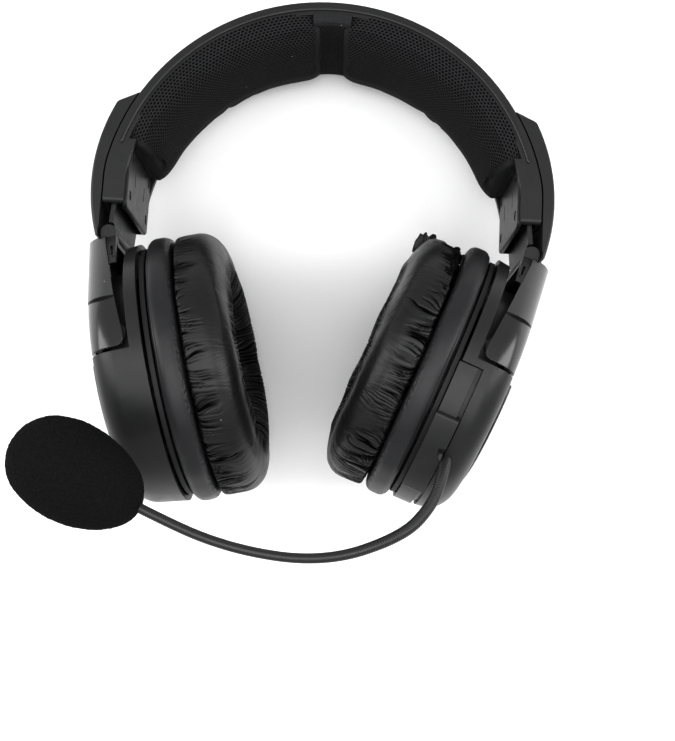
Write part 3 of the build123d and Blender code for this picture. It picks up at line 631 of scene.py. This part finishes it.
def torn_flap(number, angle, x, foot, width, height, lean):
    """A ragged piece of cover, spread along the cup's axis, that stands up from the left pad's top."""
    u = np.linspace(-0.5, 0.5, 48)[:, None]
    v = np.linspace(0, 1, 16)[None, :]
    rag = noise_field(np.stack([u * 5, u * 0 + number, u * 0], -1), 1.0)
    reach = height * (0.9 + 0.4 * rag) * (1 - 2.5 * np.abs(u) ** 4)
    curl = 0.9 * v * np.sin(7 * u + number) + 0.5 * v * np.sin(19 * u + 4 * v + number)
    a = np.radians(angle) + (lean * v + curl) / EAR_PAD_RADIUS
    radial = foot + reach * v
    along = x + width * u + 0.6 * v * np.sin(5 * v + 6 * u) + 0 * a
    sheet = np.stack([along, radial * np.sin(a), radial * np.cos(a)], -1)
    normal = grid_normals(sheet, False, False)
    skin = normal * FLAP_HALF_THICKNESS
    both = np.concatenate([sheet + skin, (sheet - skin)[:, ::-1]], 1)
    piece = grid_mesh(f"left_pad_flap_{number}", placed(both, cup_matrix("left")), caps=True)
    # The flap's ragged-edge noise darkens and dulls it in bands across it, through the same channel as the painted
    # crease shade.
    mark(piece, "crease_and_shade", np.abs(rag) + 0 * np.concatenate([v, v], 1))
    dress(piece, "leatherette")
    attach(piece, "left_cup")


# ---------------------------------------------------------------- base rings

RING_SQUARENESS = 2.8
SEAM_TURN = 0.86            # where the seam and the puckers run, as angles round the section
PUCKER_TURN = 2.35


def base_ring(side):
    """Smooth cushion ring with a rounded edge, a shallow seam and a few soft dents."""
    turn = full_turn(96)
    c, s = superellipse(turn, RING_SQUARENESS)
    x = RING_DEPTH / 2 + (RING_DEPTH / 2 - 0.05) * c
    r = (RING_INNER + RING_RADIUS) / 2 + (RING_RADIUS - RING_INNER) / 2 * s
    around = full_turn(640)
    a, t = np.meshgrid(around, turn, indexing="ij")
    soft = ring_noise(a, 5, t * 0.8, 2.4)
    fine = ring_noise(a, 40, t * 2.5, 6.1)
    puckers = np.clip(1 - 3 * np.abs(fine), 0, 1) ** 2 * bell(t, PUCKER_TURN, 0.22)
    depth = 0.22 * soft - 0.32 * puckers - 0.3 * bell(t, SEAM_TURN, 0.05) - 0.15
    grid = ring_points(x, r, around)
    grid = grid + outward_normals(grid, True) * depth[..., None]
    piece = grid_mesh(f"{side}_base_ring_cover", placed(grid, cup_matrix(side)), wrap_u=True)
    dress(piece, "smooth_leatherette")
    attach(piece, f"{side}_cup")
    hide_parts(f"{side}_base_ring")


# ---------------------------------------------------------------- headband pads

PAD_GRID = (72, 44)         # cloth points along and round a headband pad
PAD_SQUARENESS = 12.0, 2.7  # of its section against the band, and towards the head
PAD_CROWN = 0.8
PAD_END_PULL = 1.6          # how far the drawn-in ends lie towards the band
MESH_EDGE = 81.6            # the holes end at this radius, at the seam
MESH_BACK = -9.5            # and behind this z
STRIP_HALF_ANGLE = 5.5
STRIP_RADIUS = 79.2
STRIP_HALF_DEPTH = 3.4
STRIP_SAG = 0.5
STRIP_MESH_HALF_WIDTH = 22.0
PIPING_ANGLES = (16.5, 163.5)
PIPING_RADIUS = 0.55


def band_points(angle, radius, z):
    """Headset-frame points at an angle above horizontal round the band's centre."""
    return np.stack([radius * np.cos(angle), BAND_CENTRE_Y + radius * np.sin(angle), z], -1)


def pad_grid(side):
    """Coarse grid of a headband pad in the headset frame, and which of its points are sewn down."""
    sign = 1 if side == "left" else -1
    low, high = np.radians(PAD_ANGLES)
    rows, columns = PAD_GRID
    share = np.linspace(0, 1, rows)[:, None]
    turn = full_turn(columns)[None, :]
    end = np.maximum(1 - np.abs(2 * share - 1) ** 13, 0.02) ** 0.28
    c, s = superellipse(turn, np.where(np.cos(turn) > 0, *PAD_SQUARENESS))
    thick = (BINDING_RADIUS - PAD_INNER) / 2 - 0.2
    crown = PAD_CROWN * np.cos(np.clip(s, -1, 1) * QUARTER_TURN) * np.clip(-c, 0, 1)
    middle = (BINDING_RADIUS + PAD_INNER) / 2 + PAD_END_PULL * (1 - end)
    radius = middle + (thick * c - crown) * end
    z = BINDING_HALF_WIDTH * s * (0.35 + 0.65 * end)
    angle = low + (high - low) * share + 0 * turn
    return band_points(angle, radius, z) * np.array([sign, 1, 1]), radius > PAD_OUTER - 0.6


def hole_share(head, arc):
    """Where the knit of a headband pad is open, from 0 to 1: everywhere but its borders and back."""
    reach = np.hypot(head[..., 0], head[..., 1] - BAND_CENTRE_Y)
    edge = smoothstep(MESH_EDGE + 0.3, MESH_EDGE - 0.3, reach)
    back = smoothstep(MESH_BACK - 1.0, MESH_BACK + 1.0, head[..., 2])
    from_end = np.minimum(arc, arc[-1] - arc)[:, None]
    return edge * back * smoothstep(2.0, 4.0, from_end)


def headband_pad(side):
    """Crowned spacer-mesh pad, full in the middle and drawn in at its ends."""
    coarse, pinned = pad_grid(side)
    puffed = inflated(placed(coarse, HEAD), pinned, cap_mm=0.9, wrap_u=False, spare=0.005)
    fine = refined(refined(puffed, 5, 0, False), 4, 1, True)
    head = (fine - HEAD[:, 3]) @ (HEAD[:, :3] / MM) / MM
    arc = np.linspace(0, np.ptp(np.radians(PAD_ANGLES)) * PAD_INNER, len(fine))
    across = girth(head)
    lumps = noise_field(head, 1 / 24.0, 1.5) * 0.3 + noise_field(head, 1 / 6.0, 4.5) * 0.08
    fine = fine + outward_normals(fine) * lumps[..., None] * MM
    piece = grid_mesh(f"{side}_headband_pad_cover", fine, caps=True,
                      uv=lambda u, v: np.stack([arc[u], across[v]], -1))
    mark(piece, "holes", hole_share(head, arc))
    dress(piece, "pad_mesh")
    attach(piece, "headband")
    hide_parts(f"{side}_headband_pad")


def crown_strip():
    """Thin fabric bridge in the valley between the two pads."""
    angle = np.radians(np.linspace(90 - STRIP_HALF_ANGLE, 90 + STRIP_HALF_ANGLE, 40))[:, None]
    turn = full_turn(96)[None, :]
    c, s = superellipse(turn, 6.0)
    sag = STRIP_SAG * np.cos((angle - QUARTER_TURN) / math.radians(STRIP_HALF_ANGLE) * QUARTER_TURN)
    radius = STRIP_RADIUS + STRIP_HALF_DEPTH * c + sag * np.clip(-c, 0, 1) + 0 * angle
    z = BINDING_HALF_WIDTH * s + 0 * angle
    grid = band_points(angle + 0 * turn, radius, z)
    arc = PAD_INNER * angle[:, 0]
    across = girth(grid)
    piece = grid_mesh("crown_strip", placed(grid, HEAD), caps=True,
                      uv=lambda u, v: np.stack([arc[u], across[v]], -1))
    mark(piece, "holes", (np.abs(z) < STRIP_MESH_HALF_WIDTH) & (c < 0))
    dress(piece, "pad_mesh")
    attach(piece, "headband")


def piping():
    """Thin bound edge along both sides of the headband pads."""
    angle = np.radians(np.linspace(*PIPING_ANGLES, 260))[:, None]
    turn = full_turn(10)[None, :]
    for number, z in enumerate((-BINDING_HALF_WIDTH, BINDING_HALF_WIDTH)):
        radius = BINDING_RADIUS + PIPING_RADIUS * np.cos(turn) + 0 * angle
        grid = band_points(angle + 0 * turn, radius, z + PIPING_RADIUS * np.sin(turn) + 0 * angle)
        piece = grid_mesh(f"pad_piping_{number}", placed(grid, HEAD), caps=True)
        dress(piece, "boom_rubber")
        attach(piece, "headband")


# ---------------------------------------------------------------- microphone

BOOM_ROUTE = [
    (49.6, -36.0, 37.5),
    (48.0, -41.5, 44.0),
    (44.2, -52.6, 49.0),
    (34.0, -63.6, 55.5),
    (8.0, -73.2, 63.0),
    (-24.0, -70.0, 66.0),
    (-52.0, -59.2, 67.0),
    (-70.0, -50.6, 67.0),
]
FOAM_CENTRE = np.array((-76.8, -47.5, 67.0))
FOAM_LENGTH = 48.0
FOAM_DIAMETER = 33.5
BOOM_RADIUS = 2.1
RIB_PITCH = 0.85
RIB_DEPTH = 0.2
STEPS_PER_RIB = 8
BOOM_TAPER = 0.42           # lost from the radius towards the foam
FOAM_NARROW_SHARE = 0.56    # of its length, on the side of the boom


def smooth_path(route, per_run):
    """Quadratic spline inside a route, which starts and ends on it."""
    points = np.array(route, float)
    middles = (points[:-1] + points[1:]) / 2
    middles[0], middles[-1] = points[0], points[-1]
    parts = []
    for a, corner, b in zip(middles[:-1], points[1:-1], middles[1:]):
        t = np.linspace(0, 1, per_run, endpoint=False)[:, None]
        parts.append((1 - t) ** 2 * a + 2 * t * (1 - t) * corner + t * t * b)
    return np.concatenate([*parts, middles[-1:]])


def unit(vectors):
    return vectors / np.linalg.norm(vectors, axis=-1, keepdims=True)


def mic_boom():
    """Gooseneck with ribs that are deepest near the pod and fade towards the foam."""
    path = smooth_path(BOOM_ROUTE, 240)
    length = np.concatenate([[0], np.cumsum(np.linalg.norm(np.diff(path, axis=0), axis=1))])
    even = np.arange(0, length[-1], RIB_PITCH / STEPS_PER_RIB)
    path = np.stack([np.interp(even, length, path[:, k]) for k in range(3)], -1)
    forward = unit(np.gradient(path, axis=0))
    side = unit(np.cross(forward, (0.0, 0.0, 1.0)))
    over = np.cross(side, forward)
    share = even / even[-1]
    ribbed = 1 - 0.75 * smoothstep(0.25, 0.5, share)
    radius = BOOM_RADIUS - BOOM_TAPER * smoothstep(0.15, 0.55, share)
    radius = radius - RIB_DEPTH * ribbed * (0.5 + 0.5 * np.cos(FULL_TURN * even / RIB_PITCH)) ** 2
    turn = full_turn(20)[None, :, None]
    ring = side[:, None] * np.cos(turn) + over[:, None] * np.sin(turn)
    grid = path[:, None] + ring * radius[:, None, None]
    piece = grid_mesh("mic_boom_sleeve", placed(grid, HEAD), caps=True)
    dress(piece, "boom_rubber")
    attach(piece, "mic")
    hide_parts("mic_boom")


def mic_foam():
    """Egg-shaped windscreen with a crumbly open-cell surface."""
    along = unit(np.array(BOOM_ROUTE[-1], float) - np.array(BOOM_ROUTE[-2], float))
    side = unit(np.cross(along, (0.0, 0.0, 1.0)))
    over = np.cross(side, along)
    lean = np.linspace(0, np.pi, 230)[:, None, None]
    on_boom_side = lean < QUARTER_TURN
    share = np.where(on_boom_side, FOAM_NARROW_SHARE, 1 - FOAM_NARROW_SHARE)
    depth = -FOAM_LENGTH * share * np.cos(lean)
    radius = np.maximum(FOAM_DIAMETER / 2 * np.sin(lean) ** np.where(on_boom_side, 1.0, 0.86), 0.05)
    turn = full_turn(380)[None, :, None]
    ring = side * np.cos(turn) + over * np.sin(turn)
    outward = ring * np.sin(lean) - along * np.cos(lean)
    grid = FOAM_CENTRE + along * depth + ring * radius
    crumbs = noise_field(grid, 1 / 0.9, 3.3) * 0.20 + noise_field(grid, 1 / 7.0, 1.3) * 0.22 - 0.3
    grid = grid + outward * crumbs[..., None]
    piece = grid_mesh("mic_foam_cover", placed(grid, HEAD), caps=True)
    dress(piece, "foam")
    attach(piece, "mic")
    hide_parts("mic_foam")


# ---------------------------------------------------------------- scene

FLOOR_HALF = 4.0
FOCAL_LENGTH = 48.58
CAMERA_PLACE = (9.24, -55.8, 396.1)     # in the headset frame
CAMERA_PITCH = 7.94
CAMERA_ROLL = 3.0


def floor():
    mesh = bpy.data.meshes.new("floor")
    corners = [(x * FLOOR_HALF, y * FLOOR_HALF, 0) for x, y in ((-1, -1), (1, -1), (1, 1), (-1, 1))]
    mesh.from_pydata(corners, [], [(0, 1, 2, 3)])
    piece = bpy.data.objects.new("floor", mesh)
    bpy.context.scene.collection.objects.link(piece)
    piece.location.z = cad_box[0].z
    s = Shader("floor")
    tone = s.mixed(s.noise(6.0), (0.86, 0.86, 0.86, 1), (0.88, 0.88, 0.88, 1))
    piece.data.materials.append(s.set(Base_Color=tone, Roughness=0.85))


def area_light(name, place, size, watts):
    """Soft rectangular light that faces the headset."""
    data = bpy.data.lights.new(name, "AREA")
    data.shape = "RECTANGLE"
    data.size, data.size_y = size
    data.energy = watts
    light = bpy.data.objects.new(name, data)
    light.location = place
    light.rotation_mode = "QUATERNION"
    light.rotation_quaternion = (-Vector(place)).to_track_quat("-Z", "Y")
    bpy.context.scene.collection.objects.link(light)


def lights():
    world = bpy.data.worlds.new("studio")
    bpy.context.scene.world = world
    world.use_nodes = True
    background = world.node_tree.nodes["Background"]
    background.inputs["Color"].default_value = (1, 1, 1, 1)
    background.inputs["Strength"].default_value = 0.75
    area_light("top", (0.0, -0.05, 1.1), (0.9, 0.9), 9.0)
    area_light("left_side", (-0.75, 0.1, 0.55), (0.35, 0.9), 5.0)
    area_light("right_side", (0.75, 0.1, 0.55), (0.35, 0.9), 5.0)
    bpy.context.scene.view_settings.view_transform = "Standard"
    bpy.context.scene.view_settings.gamma = 0.82


def camera():
    """Camera in front of the face, a little below the ears, pitched and rolled by a few degrees."""
    data = bpy.data.cameras.new("camera")
    data.sensor_width = 36.0
    data.lens = FOCAL_LENGTH
    piece = bpy.data.objects.new("camera", data)
    bpy.context.scene.collection.objects.link(piece)
    pitch, roll = math.radians(CAMERA_PITCH), math.radians(CAMERA_ROLL)
    right = (math.cos(roll), math.sin(roll) * math.cos(pitch), math.sin(roll) * math.sin(pitch))
    up = (-math.sin(roll), math.cos(roll) * math.cos(pitch), math.cos(roll) * math.sin(pitch))
    back = (0.0, -math.sin(pitch), math.cos(pitch))
    turned = (HEAD[:, :3] / MM) @ np.array([right, up, back]).T
    place = placed(CAMERA_PLACE, HEAD)
    piece.matrix_world = Matrix([[*turned[i], place[i]] for i in range(3)] + [[0, 0, 0, 1]])
    data.clip_start, data.clip_end = 0.01, 20.0
    bpy.context.scene.camera = piece


camera()
lights()
floor()
for side_name in ("left", "right"):
    ear_pad(side_name)
    base_ring(side_name)
    headband_pad(side_name)
for number, values in enumerate(FLAPS):
    torn_flap(number, *values)
crown_strip()
piping()
mic_boom()
mic_foam()
